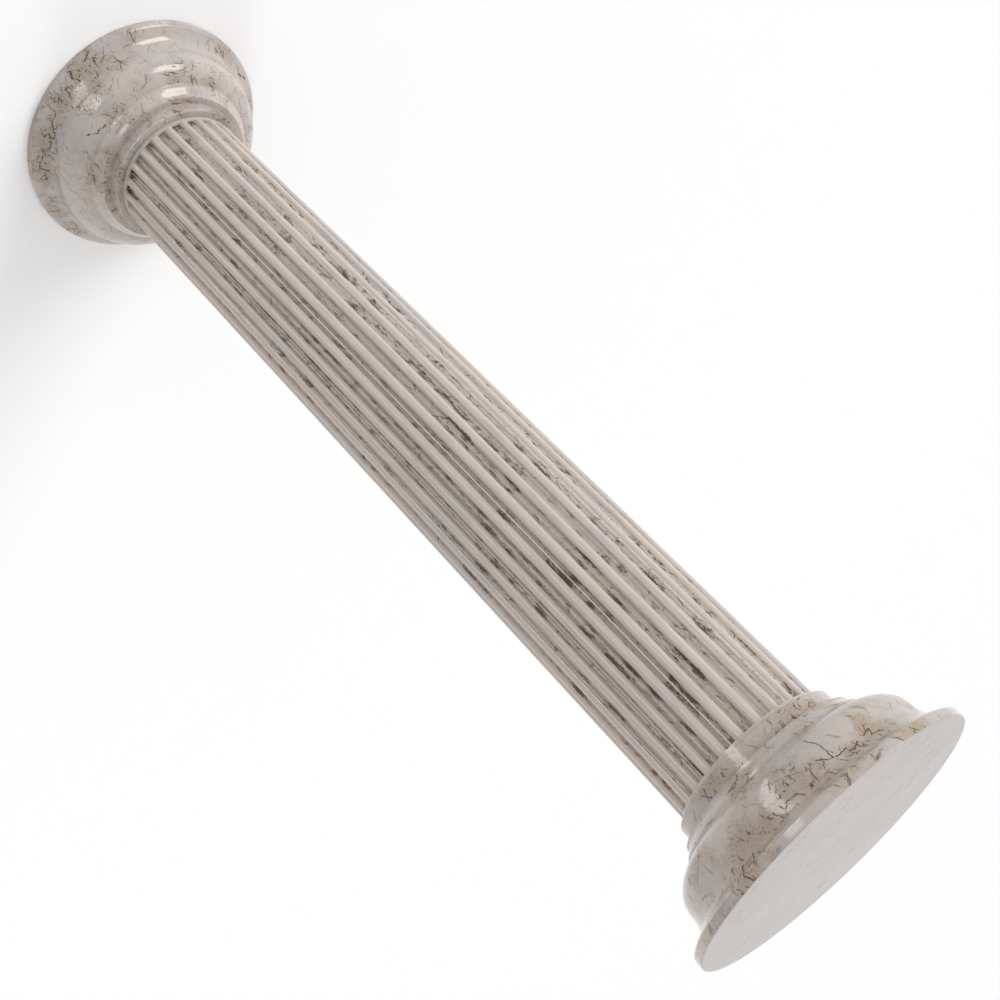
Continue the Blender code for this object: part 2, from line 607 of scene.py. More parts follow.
    def _cracks(self, wiring: Wiring, bent: Link, place: Link, thick: Value) -> Value:
        """Wire the dark hairline cracks, the knots and the specks among them.

        Args:
            wiring: The tree.
            bent: Where the cracks are read.
            place: Where the specks are read.
            thick: How thickly they gather.

        Returns:
            1 in a crack, a knot or a speck.
        """
        part = wiring.noise(place, 42.0, 2.0, 0.6)
        broad_net = wiring.network(bent, 30.0, 0.0011) * part.rise(0.54, 0.60)
        elsewhere = wiring.vector("ADD", bent, (0.3, 0.2, 0.1))
        fine_net = wiring.network(elsewhere, 75.0, 0.0009) * part.fall(0.42, 0.48)
        straighter = self._bent(wiring, place, 110.0, 0.008)
        long_ones = Strokes(36.0, 0.017, 0.0017, 0.78).draw(wiring, straighter)
        short_ones = Strokes(95.0, 0.0074, 0.0014, 0.28, shift=0.37).draw(wiring, straighter)
        specks = wiring.noise(place, 300.0, 2.0, 0.6).rise(0.60, 0.68)
        knots = wiring.noise(place, 120.0, 4.0, 0.7).rise(0.66, 0.72)
        crowd = broad_net.most(short_ones).most(specks * 0.65).most(knots)
        alone = long_ones.most(fine_net * 0.28)
        return (crowd * thick).most(alone * (thick * 0.6 + 0.4)).held()

    @staticmethod
    def _set_cracks(wiring: Wiring, place: Link, lines: Sequence[Line]) -> Value:
        """Wire the listed cracks.

        Args:
            wiring: The tree.
            place: Where they are read, already bent.
            lines: Their points and half widths.

        Returns:
            1 in a crack and 0 outside.
        """
        nearest: Optional[Value] = None
        for points, width in lines:
            for start, end in zip(points, points[1:]):
                away = wiring.away_from(place, start, end) / width
                nearest = away if nearest is None else nearest.least(away)
        return nearest.fall(0.75, 1.35)


@dataclass(frozen=True)
class FlutedMarble(Marble):
    """The shaft's marble: pale ribs, and brown, stained and speckled flutes; the flutes carry
    painted shade on the shaded side and a painted highlight line.

    Attributes:
        flutes: How many flutes there are round the shaft.
        stain: The colour of the dark stains.
        flute_dirt_and_shade: The flutes' brown: dirt in patches, and painted shade towards the
            shaded side.
        edge: The colour of the painted highlight line down the middle of a flute on the shaded
            side.
        shaded_bearing: The side where the flutes carry the most painted shade, in degrees.
    """

    flutes: int = 24
    radius: float = 0.155
    stain: Colour = (0.058, 0.032, 0.012)
    flute_dirt_and_shade: Colour = (0.265, 0.205, 0.155)
    edge: Colour = (0.680, 0.580, 0.490)
    shaded_bearing: float = -62.0

    def make(self, lines: Sequence[Line]) -> bpy.types.Material:
        """Build the material.

        Args:
            lines: The listed cracks, as points and half widths.

        Returns:
            The finished material.
        """
        wiring = Wiring(self.name)
        place = wiring.place()
        drawn = wiring.vector("MULTIPLY", place, (1.0, 1.0, 0.42))
        bent = self._bent(wiring, drawn, 70.0, 0.012)
        hollow = wiring.attribute("hollow")
        gather = wiring.attribute("gather")
        flute = hollow.rise(0.38, 0.58)

        ground = self._ribs(wiring, place, bent)
        shaded_side = self._shaded_side(wiring)
        glint_and_shade_line = self._glint_and_shade_line(wiring) * flute
        ground = self._flutes(wiring, drawn, ground, flute, shaded_side)
        # Painted shade: a dark line down the middle of each flute on the lit side
        ground = wiring.blend(glint_and_shade_line * shaded_side.fall(0.2, 0.6) * 0.75, ground, self.crack)
        stains, halo = self._stains(wiring, drawn, flute, gather)
        ground = wiring.blend(halo * 0.55, ground, self.warm, "MULTIPLY")
        ground = wiring.blend(stains, ground, self.stain)
        cracks = self._hairlines(wiring, bent, drawn, flute)
        crooked = self._bent(wiring, self._rolled_out(wiring, place), 140.0, 0.005)
        cracks = cracks.most(self._set_cracks(wiring, crooked, lines))
        ground = wiring.blend(cracks, ground, self.crack)
        # Painted highlight: a pale line down the middle of each flute on the shaded side
        ground = wiring.blend(glint_and_shade_line * shaded_side.rise(0.3, 0.6) * 0.75, ground, self.edge)
        wiring.join(ground, wiring.shader.inputs["Base Color"])

        smears = wiring.noise(drawn, 38.0, 4.0, 0.6)
        rough = self.roughness + smears * 0.06 + stains * 0.35 + cracks * 0.3
        wiring.join(rough, wiring.shader.inputs["Roughness"])
        self._bump(wiring, wiring.noise(drawn, 60.0, 2.0) * 0.06)
        return wiring.material

    def _ribs(self, wiring: Wiring, place: Link, bent: Link) -> Socket:
        """Wire the ribs' ground, with fine streaks along the shaft.

        Args:
            wiring: The tree.
            place: The place.
            bent: The drawn out, bent place.

        Returns:
            The ground colour.
        """
        broad = wiring.noise(bent, 9.0, 3.0, 0.5)
        ground = wiring.blend(broad.rise(0.45, 0.62) * 0.7, self.pale, self.cool)
        long_place = wiring.vector("MULTIPLY", place, (1.0, 1.0, 0.07))
        streaks = wiring.noise(long_place, 130.0, 3.0, 0.6)
        return wiring.blend(streaks.rise(0.52, 0.70) * 0.35, ground, self.vein)

    def _shaded_side(self, wiring: Wiring) -> Value:
        """Return how far round to the shaded side a point is, from 0 to 1, for painted shade and
        highlight.
        """
        toward = round_place(self.shaded_bearing, 1.0 / self.radius, 0.0)
        return wiring.measure("DOT_PRODUCT", wiring.place(), toward).rise(0.35, 0.95)

    def _glint_and_shade_line(self, wiring: Wiring) -> Value:
        """Wire the fine line down the middle of each flute: the mask for a painted highlight on the
        shaded side and for painted shade on the lit side.

        Args:
            wiring: The tree.

        Returns:
            1 on the line and 0 outside.
        """
        parts = wiring.node("ShaderNodeSeparateXYZ", None, {0: wiring.place()})
        across, ahead = wiring.value(parts.outputs["Y"]), wiring.value(parts.outputs["X"])
        turn = across.angle(ahead) * (self.flutes / math.tau)
        middle = abs(turn.fraction() - 0.5)
        pitch = math.tau * self.radius / self.flutes
        return middle.fall(0.0005 / pitch, 0.0012 / pitch)

    def _flutes(self, wiring: Wiring, drawn: Link, ground: Link, flute: Value,
                shaded_side: Value) -> Socket:
        """Wire the flutes' browner ground: dirt in patches, and painted shade towards the shaded
        side.

        Args:
            wiring: The tree.
            drawn: The drawn out place.
            ground: The ribs' colour.
            flute: 1 in a flute and 0 on a rib.
            shaded_side: How near the shaded side is.

        Returns:
            The ground colour.
        """
        patch = wiring.noise(drawn, 12.0, 3.0, 0.55).rise(0.36, 0.64)
        # The flute brown is dirt in patches, plus painted shade that grows towards the shaded side
        return wiring.blend(flute * (patch * 0.12 + shaded_side * 0.66), ground, self.flute_dirt_and_shade)

    def _stains(self, wiring: Wiring, drawn: Link, flute: Value,
                gather: Value) -> Tuple[Value, Value]:
        """Wire the dark ragged stains in the flutes.

        Args:
            wiring: The tree.
            drawn: The drawn out place.
            flute: 1 in a flute and 0 on a rib.
            gather: How thick the listed stains are.

        Returns:
            1 in a stain, and 1 in the soft brown round it.
        """
        ragged = wiring.noise(drawn, 85.0, 5.0, 0.72)
        swell = wiring.noise(drawn, 30.0, 2.0, 0.5)
        grain = wiring.noise(drawn, 270.0, 2.0, 0.6)
        reach = ragged + (swell - 0.5) * 0.50 + gather * 0.27 + (flute - 1.0) * 0.24
        return (reach + (grain - 0.5) * 0.60).rise(0.63, 0.70), reach.rise(0.53, 0.66)

    def _hairlines(self, wiring: Wiring, bent: Link, drawn: Link, flute: Value) -> Value:
        """Wire the short cracks and the specks.

        Args:
            wiring: The tree.
            bent: Where the cracks are read.
            drawn: Where the specks are read.
            flute: 1 in a flute and 0 on a rib.

        Returns:
            1 in a crack or a speck.
        """
        short_ones = Strokes(80.0, 0.008, 0.0012, 0.5, lean=(1.0, 1.0, 0.8)).draw(wiring, bent)
        crowd = wiring.noise(drawn, 16.0, 2.0, 0.5).rise(0.44, 0.60)
        specks = wiring.noise(drawn, 380.0, 2.0, 0.6).rise(0.58, 0.70)
        marks = (short_ones * 0.85).most(specks * (crowd * 0.6 + 0.25))
        return marks * (flute * 0.90 + 0.08)


@dataclass
class Grid:
    """Rows of points round the axis, and what is stored on them.

    Attributes:
        name: The mesh's name.
        rows: One array of points for each row, from the bottom up.
        stored: Numbers for each point by name, shaped as the rows are.
    """

    name: str
    rows: np.ndarray
    stored: Mapping[str, np.ndarray]

    def to_object(self, material: bpy.types.Material) -> bpy.types.Object:
        """Make a closed mesh with a flat cap at each end.

        Args:
            material: Its finish.

        Returns:
            The object, linked to the scene.
        """
        count, around = self.rows.shape[:2]
        points = self.rows.reshape(-1, 3)
        index = np.arange(count * around).reshape(count, around)
        ahead = np.roll(index, -1, axis=1)
        quads = np.stack([index[:-1], ahead[:-1], ahead[1:], index[1:]], axis=-1).reshape(-1, 4)
        faces = quads.tolist() + [index[0][::-1].tolist(), index[-1].tolist()]
        mesh = bpy.data.meshes.new(self.name)
        mesh.from_pydata(points.tolist(), [], faces)
        mesh.update()
        for label, numbers in self.stored.items():
            layer = mesh.attributes.new(label, "FLOAT", "POINT")
            layer.data.foreach_set("value", numbers.reshape(-1).astype(np.float32))
        mesh.shade_smooth()
        mesh.materials.append(material)
        return put(self.name, mesh)


def put(name: str, data: bpy.types.ID) -> bpy.types.Object:
    """Return a new object that holds the data, linked to the scene."""
    made = bpy.data.objects.new(name, data)
    bpy.context.scene.collection.objects.link(made)
    return made


def round_place(bearing: float, radius: float, height: float) -> Triple:
    """Return the point at a bearing in degrees, a distance from the axis and a height."""
    turn = math.radians(bearing)
    return (radius * math.cos(turn), radius * math.sin(turn), height)


def gathering(rows: np.ndarray, patches: Sequence[Patch],
              spot: Callable[[float, float], Triple]) -> np.ndarray:
    """Work out how thickly marks gather at each point.

    Args:
        rows: The points.
        patches: The listed patches.
        spot: Gives the point on the surface at a bearing and a height.

    Returns:
        A number for each point, 0 away from every patch.
    """
    total = np.zeros(rows.shape[:2])
    for patch in patches:
        away = rows - np.array(spot(patch.bearing, patch.height))
        level = (away[..., 0]**2 + away[..., 1]**2) / patch.across**2
        total += patch.weight * np.exp(-0.5 * (level + (away[..., 2] / patch.along)**2))
    return np.minimum(total, MOST_GATHERED)


def curve(start: Pair, end: Pair, start_lean: Pair, end_lean: Pair, count: int) -> List[Pair]:
    """Return points along a cubic curve, the start left out and the end kept.

    Args:
        start: The first (radius, height).
        end: The last.
        start_lean: How far the curve pulls from the start, as shares of its extent.
        end_lean: The same at the end.
        count: How many points.

    Returns:
        The points.
    """
    first, last = np.array(start), np.array(end)
    extent = last - first
    leave = first + extent * np.array(start_lean)
    arrive = last - extent * np.array(end_lean)
    points = []
    for step in range(1, count + 1):
        t = step / count
        spot = (first * (1 - t)**3 + 3 * leave * (1 - t)**2 * t
                + 3 * arrive * (1 - t) * t**2 + last * t**3)
        points.append((float(spot[0]), float(spot[1])))
    return points


def arc(centre: Pair, radius: float, start: float, end: float, count: int) -> List[Pair]:
    """Return points on an arc, both ends kept.

    Args:
        centre: The arc's centre.
        radius: Its radius.
        start: Its first angle in degrees, from +radius towards +height.
        end: Its last angle.
        count: How many steps.

    Returns:
        The points.
    """
    turns = [math.radians(start + (end - start) * step / count) for step in range(count + 1)]
    return [(centre[0] + radius * math.cos(turn), centre[1] + radius * math.sin(turn))
            for turn in turns]


@dataclass
class EndBlock:
    """The round moulded block at one end of the column; the capital is the base turned over.

    Attributes:
        side: Which end it closes.
        finish: Its marble.
        cracks: The listed cracks.
        patches: Where marks gather.
        column_height: The whole column.
    """

    side: Side
    finish: Marble
    cracks: Sequence[Crack] = ()
    patches: Sequence[Patch] = ()
    column_height: float = 2.400
    rim_radius: float = 0.3090
    rim_height: float = 0.0185
    rim_arris: float = 0.0018
    lip_step: float = 0.0020
    lip_width: float = 0.0022
    neck_radius: float = 0.2646
    cove_height: float = 0.0536
    shoulder_foot_radius: float = 0.2127
    shoulder_height: float = 0.0600
    fillet_radius: float = 0.1940
    cyma_height: float = 0.0258
    fillet_height: float = 0.0026
    fillet_arris: float = 0.0007
    ring_radius: float = 0.1771
    ring_height: float = 0.0340
    ring_arris: float = 0.0012
    ring_root: float = 0.0012
    segments: int = 384

    def profile(self) -> Tuple[List[Pair], List[float]]:
        """Lay out the outside from the end face to the shaft joint.

        Returns:
            The (radius, height) points, and how hollow each is.
        """
        lip = self.rim_height + self.lip_step
        neck = lip + self.cove_height
        foot = neck + self.shoulder_height
        cyma = foot + self.cyma_height
        step = cyma + self.fillet_height
        top = step + self.ring_height
        bevel = self.rim_arris
        points: List[Pair] = []
        hollow: List[float] = []

        def add(new: Sequence[Pair], deep: Callable[[float], float]) -> None:
            """Append a stretch of points.

            Args:
                new: The points.
                deep: Gives how hollow they are, from 0 at the stretch's start to 1 at its end.
            """
            for number, point in enumerate(new):
                points.append(point)
                hollow.append(deep(number / max(1, len(new) - 1)))

        face_shares = (0.04, 0.12, 0.24, 0.38, 0.54, 0.70, 0.84, 0.93, 0.975)
        faces = [self.rim_radius * share for share in face_shares]
        add([(radius, 0.0) for radius in faces], lambda t: 0.0)
        outer = self.rim_radius - bevel
        add(arc((outer, bevel), bevel, -90, 0, 6), lambda t: 0.0)
        add([(self.rim_radius, self.rim_height * share) for share in (0.25, 0.5, 0.75)],
            lambda t: 0.0)
        add(arc((outer, self.rim_height - bevel), bevel, 0, 80, 6), lambda t: 0.0)
        lip_point = (outer - self.lip_width, lip)
        add([(outer - self.lip_width * 0.45, self.rim_height + self.lip_step * 0.22),
             (outer - self.lip_width * 0.85, self.rim_height + self.lip_step * 0.7)], lambda t: 0.3)
        neck_point = (self.neck_radius, neck)
        foot_point = (self.shoulder_foot_radius, foot)
        cyma_point = (self.fillet_radius, cyma)
        add(curve(lip_point, neck_point, (0.17, 0.13), (0.0, 0.83), 34),
            lambda t: math.sin(math.pi * t) * 0.6)
        add(curve(neck_point, foot_point, (0.0, 0.37), (0.79, 0.24), 34),
            lambda t: max(0.0, (t - 0.85) / 0.15))
        add(curve(foot_point, cyma_point, (0.0, 0.35), (0.0, 0.30), 16),
            lambda t: max(0.0, 1 - t / 0.25))
        add([(self.fillet_radius, cyma + self.fillet_height * 0.5)], lambda t: 0.0)
        edge = self.fillet_arris
        add(arc((self.fillet_radius - edge, step - edge), edge, 0, 90, 3), lambda t: 0.0)
        across = self.fillet_radius - self.ring_radius
        add([(self.fillet_radius - across * share, step) for share in (0.3, 0.6, 0.85)],
            lambda t: t)
        root = self.ring_root
        add(arc((self.ring_radius + root, step + root), root, -90, -180, 4), lambda t: 1.0)
        add([(self.ring_radius, step + self.ring_height * share)
             for share in (0.1, 0.3, 0.6, 0.85)], lambda t: max(0.0, 1 - 3 * t))
        edge = self.ring_arris
        add(arc((self.ring_radius - edge, top - edge), edge, 0, 90, 5), lambda t: 0.0)
        add([(self.ring_radius * share, top) for share in (0.96, 0.93, 0.90, 0.6, 0.2)],
            lambda t: min(1.0, t * 4))
        return points, hollow

    def spot(self, bearing: float, height: float) -> Triple:
        """Find a point on the moulding.

        Args:
            bearing: Its bearing in degrees.
            height: Its height above the floor.

        Returns:
            The point.
        """
        # The end face and the start of its edge are left out, so that each height has one radius
        points = [point for point in self.profile()[0] if point[0] > self.ring_radius * 0.97][8:]
        above = height if self.side is Side.FOOT else self.column_height - height
        radii, heights = zip(*points)
        return round_place(bearing, float(np.interp(above, heights, radii)), height)

    def build(self) -> bpy.types.Object:
        """Turn the profile about the axis.

        Returns:
            The finished block, in place.
        """
        points, hollow = self.profile()
        turns = np.linspace(0.0, math.tau, self.segments, endpoint=False)
        radii = np.array([point[0] for point in points])[:, None]
        heights = np.array([point[1] for point in points])[:, None] + 0 * turns[None, :]
        rows = np.stack([radii * np.cos(turns), radii * np.sin(turns), heights], axis=-1)
        deep = np.array(hollow)[:, None] + 0 * turns[None, :]
        if self.side is Side.HEAD:
            rows[..., 2] = self.column_height - rows[..., 2]
            rows, deep = rows[::-1], deep[::-1]
        lines = [crack.laid_out(self.finish.radius) for crack in self.cracks]
        gathered = gathering(rows, self.patches, self.spot)
        end_face = np.array([height < self.rim_arris * 0.5 for _, height in points])
        if self.side is Side.HEAD:
            end_face = end_face[::-1]
        gathered[end_face] = END_FACE_MARK
        stored = {"hollow": deep, "gather": gathered}
        block = Grid("marble_" + self.side.value, rows, stored).to_object(self.finish.make(lines))
        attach(block, ROOT_BODY)
        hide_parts(self.side.value)
        return block


@dataclass
class Shaft:
    """The fluted drum between the two blocks.

    Attributes:
        finish: Its marble.
        bottom: Where it starts above the floor.
        top: Where it ends.
        cracks: The listed cracks.
        patches: Where stains gather.
    """

    finish: FlutedMarble
    bottom: float
    top: float
    cracks: Sequence[Crack] = ()
    patches: Sequence[Patch] = ()
    radius: float = 0.1615
    band_height: float = 0.0112
    flutes: int = 24
    flute_depth: float = 0.0125
    rib_radius: float = 0.0112
    setback: float = 0.0002
    points_per_flute: int = 20
    body_rows: int = 160

    def section(self) -> Tuple[np.ndarray, np.ndarray]:
        """Lay out the wave of ribs and flutes.

        Returns:
            Each point's angle and radius round the shaft.
        """
        half_pitch = math.pi / self.flutes
        orbit = self.radius - self.setback - self.rib_radius
        floor = self.radius - self.flute_depth
        across = orbit * math.cos(half_pitch)
        reach = orbit**2 + floor**2 - 2 * floor * across - self.rib_radius**2
        hollow_radius = reach / (2 * (self.rib_radius + across - floor))
        hollow_orbit = floor + hollow_radius
        tangent = math.atan2(hollow_orbit * math.sin(half_pitch),
                             hollow_orbit * math.cos(half_pitch) - orbit)
        sweep = tangent - half_pitch
        rib_steps = self.points_per_flute // 2
        places: List[Tuple[float, float]] = []
        for index in range(self.flutes):
            rib = 2 * half_pitch * index
            for step in range(rib_steps):
                turn = rib + tangent * (2 * (step + 0.5) / rib_steps - 1)
                places.append((orbit * math.cos(rib) + self.rib_radius * math.cos(turn),
                               orbit * math.sin(rib) + self.rib_radius * math.sin(turn)))
            middle = rib + half_pitch
            for step in range(rib_steps):
                turn = middle + math.pi - sweep * (2 * (step + 0.5) / rib_steps - 1)
                places.append((hollow_orbit * math.cos(middle) + hollow_radius * math.cos(turn),
                               hollow_orbit * math.sin(middle) + hollow_radius * math.sin(turn)))
        spots = np.array(places)
        return np.arctan2(spots[:, 1], spots[:, 0]), np.hypot(spots[:, 0], spots[:, 1])

    def heights(self) -> Tuple[np.ndarray, np.ndarray]:
        """Lay out the rows, close together at the flutes' end walls.

        Returns:
            Each row's height above the floor, and how far the flutes are cut there, from 0 to 1.
        """
        band = self.band_height
        edge = [(0.0, 0.0), (0.0025, 0.0), (0.006, 0.0), (band - 0.0016, 0.0), (band - 0.0010, 0.0),
                (band - 0.0005, 0.02), (band - 0.0002, 0.06), (band, 0.14), (band + 0.0001, 0.5),
                (band + 0.0002, 0.86), (band + 0.0005, 0.94), (band + 0.0010, 0.98),
                (band + 0.0020, 1.0), (band + 0.006, 1.0)]
        length = self.top - self.bottom
        middle = np.linspace(band + 0.012, length - band - 0.012, self.body_rows)
        rows = edge + [(float(height), 1.0) for height in middle]
        rows += [(length - height, cut) for height, cut in reversed(edge)]
        table = np.array(rows)
        return table[:, 0] + self.bottom, table[:, 1]

    def spot(self, bearing: float, height: float) -> Triple:
        """Return the point at the pattern's radius, a bearing in degrees and a height."""
        return round_place(bearing, self.finish.radius, height)

    def build(self) -> bpy.types.Object:
        """Carve the shaft.

        Returns:
            The finished shaft, in place.
        """
        angles, wave = self.section()
        heights, cut = self.heights()
        depth = (self.radius - wave)[None, :] * cut[:, None]
        radii = self.radius - depth
        rows = np.stack([radii * np.cos(angles), radii * np.sin(angles),
                         heights[:, None] + 0 * angles[None, :]], axis=-1)
        lines = [crack.laid_out(self.finish.radius) for crack in self.cracks]
        stored = {"hollow": depth / self.flute_depth,
                  "gather": gathering(rows, self.patches, self.spot)}
        shaft = Grid("marble_shaft", rows, stored).to_object(self.finish.make(lines))
        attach(shaft, ROOT_BODY)
        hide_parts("shaft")
        return shaft


@dataclass(frozen=True)
class Panel:
    """A soft light panel that shows in reflections alone.

    Attributes:
        name: Its name.
        place: Its middle.
        aim: The point that it faces.
        size: Its width and height.
        glow: How bright its face is.
    """

    name: str
    place: Triple
    aim: Triple
    size: Pair
    glow: float

    def hang(self) -> bpy.types.Object:
        """Put the panel in the scene.

        Returns:
            The panel's object.
        """
        light = bpy.data.lights.new(self.name, "AREA")
        light.shape = "RECTANGLE"
        light.size, light.size_y = self.size
        light.energy = self.glow * math.pi * self.size[0] * self.size[1]
        light.color = (1.0, 0.985, 0.97)
        panel = put(self.name, light)
        panel.location = self.place
        toward = Vector(self.aim) - Vector(self.place)
        panel.rotation_mode = "QUATERNION"
        panel.rotation_quaternion = toward.to_track_quat("-Z", "Y")
        panel.visible_camera = False
        panel.visible_diffuse = False
        return panel


def low_strip(name: str, bearing: float, spread: float, glow: float, near: float) -> List[Panel]:
    """Lay a fan of panels on the floor from the base outwards, and stand one at its end.

    Args:
        name: The panels' name.
        bearing: The direction that the fan runs in, in degrees.
        spread: How wide it looks from the axis, in degrees.
        glow: How bright it is.
        near: How bright the panel next to the base is, as a share of that.

    Returns:
        The panels.
    """
    share = 2 * math.tan(math.radians(spread / 2))
    panels = []
    for number, (inner, outer) in enumerate(zip(STRIP_EDGES, STRIP_EDGES[1:])):
        middle = (inner + outer) / 2
        spot = round_place(bearing, middle, STRIP_LIFT)
        part = near + (1.0 - near) * min(1.0, number / 3)
        panels.append(Panel(f"{name}_{number}", spot, (spot[0], spot[1], 1.0),
                            (share * middle, outer - inner), glow * part))
    reach = STRIP_EDGES[-1]
    panels.append(Panel(name + "_end", round_place(bearing, reach, STRIP_END_MIDDLE),
                        (0.0, 0.0, STRIP_END_MIDDLE), (share * reach, STRIP_END_HEIGHT), glow))
    return panels


@dataclass
class Studio:
    """The floor, the light and the camera.

    Attributes:
        camera_roll: How far the camera is turned about its own line of sight, in degrees.
        front_strip: The low front panels' bearing, spread, glow and near share.
        side_place: The side panel's bearing, distance from the axis and height.
        suns: The broad soft lights: a name, a bearing, a rise, a strength and a spread each.
    """

    floor_radius: float = 300.0
    floor_colour: Colour = (0.88, 0.88, 0.88)
    sky: Colour = (1.0, 1.0, 1.0)
    sky_strength: float = 0.805
    camera_place: Triple = (0.1990983, -2.4745592, 2.7989477)
    camera_aim: Triple = (-0.0019, 0.0, 1.4635)
    camera_roll: float = 135.71
    lens: float = 50.0
    front_strip: Tuple[float, float, float, float] = (-75.0, 13.0, 5.2, 0.6)
    side_place: Triple = (-153.0, 8.0, 4.4)
    side_aim: Triple = (0.0, 0.0, 0.1)
    side_size: Pair = (3.8, 3.4)
    side_glow: float = 8.0
    suns: Tuple[Tuple[str, float, float, float, float], ...] = (
        ("broad_light", -168.0, 20.0, 2.35, 44.0), ("rim_light", 50.0, 12.0, 1.2, 20.0))

    def hang_suns(self) -> None:
        """Hang the broad soft lights, which no reflection shows."""
        for name, bearing, rise, strength, spread in self.suns:
            light = bpy.data.lights.new(name, "SUN")
            light.energy = strength
            light.angle = math.radians(spread)
            sun = put(name, light)
            level = math.cos(math.radians(rise))
            toward = Vector(round_place(bearing, level, math.sin(math.radians(rise))))
            sun.rotation_mode = "QUATERNION"
            sun.rotation_quaternion = toward.to_track_quat("Z", "Y")
            sun.visible_glossy = False

    def lay_floor(self) -> bpy.types.Object:
        """Make the plain round floor.

        Returns:
            The floor.
        """
        wiring = Wiring("pale_floor")
        tone = wiring.noise(wiring.place(), 3.0, 2.0)
        pale = wiring.blend(tone * 0.04, self.floor_colour, (0.8, 0.8, 0.8))
        wiring.join(pale, wiring.shader.inputs["Base Color"])
        wiring.shader.inputs["Roughness"].default_value = 0.9
        wiring.shader.inputs["Specular IOR Level"].default_value = 0.1
        turns = np.linspace(0.0, math.tau, 96, endpoint=False)
        rim = np.stack([np.cos(turns), np.sin(turns), 0 * turns], axis=-1) * self.floor_radius
        mesh = bpy.data.meshes.new("floor")
        mesh.from_pydata(rim.tolist(), [], [list(range(len(turns)))])
        mesh.materials.append(wiring.material)
        floor = put("floor", mesh)
        floor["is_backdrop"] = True
        return floor

    def light(self) -> None:
        """Set the pale surround and hang the panels."""
        world = bpy.data.worlds.new("studio")
        world.use_nodes = True
        surround = world.node_tree.nodes["Background"]
        surround.inputs["Color"].default_value = (*self.sky, 1.0)
        surround.inputs["Strength"].default_value = self.sky_strength
        bpy.context.scene.world = world
        self.hang_suns()
        side = Panel("side_panel", round_place(*self.side_place), self.side_aim,
                     self.side_size, self.side_glow)
        for panel in [side] + low_strip("front_panel", *self.front_strip):
            panel.hang()

    def place_camera(self) -> bpy.types.Object:
        """Set the camera at the photograph's angle.

        Returns:
            The camera.
        """
        lens = bpy.data.cameras.new("camera")
        lens.lens = self.lens
        lens.clip_start = 0.05
        lens.clip_end = 900.0
        camera = put("camera", lens)
        place = Vector(self.camera_place)
        level = (Vector(self.camera_aim) - place).to_track_quat("-Z", "Y").to_matrix()
        turned = level @ Matrix.Rotation(math.radians(self.camera_roll), 3, "Z")
        camera.matrix_world = Matrix.Translation(place) @ turned.to_4x4()
        bpy.context.scene.camera = camera
        return camera


FOOT_CRACKS = (
    Crack(((-102, 0.036), (-103, 0.058), (-105, 0.080)), 0.0012),
    Crack(((-99, 0.046), (-105, 0.058), (-109, 0.057)), 0.0008),
    Crack(((-57, 0.047), (-54, 0.040), (-51, 0.048)), 0.0009),
    Crack(((-58, 0.033), (-54, 0.040)), 0.0012),
    Crack(((-32, 0.028), (-29, 0.049)), 0.0011),
    Crack(((-114, 0.021), (-115, 0.034)), 0.0011),
    Crack(((170, 0.024), (176, 0.031)), 0.0011),
    Crack(((-87, 0.108), (-93, 0.096), (-95, 0.083)), 0.0006),
    Crack(((-62, 0.118), (-66, 0.128), (-74, 0.131)), 0.0008),
)
FOOT_PATCHES = tuple(Patch(*mark) for mark in (
    (-84, 0.028, 0.014, 1.6, 0.016), (-94, 0.042, 0.012, 1.5, 0.016),
    (-103, 0.056, 0.016, 0.9, 0.022), (-70, 0.034, 0.016, 0.9, 0.030),
    (-50, 0.042, 0.016, 0.9, 0.030), (-32, 0.038, 0.018, 0.8, 0.030),
    (-114, 0.026, 0.012, 0.9, 0.018), (-152, 0.129, 0.008, 1.3, 0.018),
    (-58, 0.160, 0.012, 1.1, 0.022), (-165, 0.030, 0.016, 0.9, 0.030),
    (-97, 0.118, 0.020, 0.55, 0.030), (-45, 0.180, 0.016, 1.5, 0.030),
    (-70, 0.184, 0.010, 1.1, 0.030), (-125, 0.176, 0.014, 1.1, 0.035),
    (-160, 0.184, 0.010, 1.0, 0.030),
))
HEAD_CRACKS = (
    Crack(((-104, 2.290), (-106, 2.312), (-106, 2.343), (-108, 2.361)), 0.0011),
    Crack(((-101, 2.328), (-104, 2.338), (-108, 2.345), (-112, 2.343)), 0.0011),
    Crack(((-106, 2.322), (-108, 2.340)), 0.0008),
    Crack(((-117, 2.345), (-114, 2.353), (-112, 2.350)), 0.0012),
    Crack(((-125, 2.340), (-123, 2.352)), 0.0012),
    Crack(((-82, 2.352), (-84, 2.344), (-88, 2.346), (-90, 2.358)), 0.0011),
    Crack(((-83, 2.303), (-89, 2.314), (-95, 2.326)), 0.0006),
    Crack(((-90, 2.300), (-91, 2.330)), 0.0006),
    Crack(((-129, 2.386), (-131, 2.397)), 0.0010),
    Crack(((-58, 2.362), (-60, 2.384), (-61, 2.396)), 0.0014),
    Crack(((-64, 2.362), (-65, 2.384)), 0.0012),
    Crack(((-60, 2.380), (-65, 2.374)), 0.0009),
    Crack(((-136, 2.212), (-139, 2.230)), 0.0009),
    Crack(((-133, 2.226), (-140, 2.216)), 0.0009),
    Crack(((-50, 2.214), (-54, 2.231)), 0.0012),
    Crack(((-54, 2.210), (-51, 2.228)), 0.0012),
    Crack(((-104, 2.2345), (-118, 2.2345)), 0.0010),
)
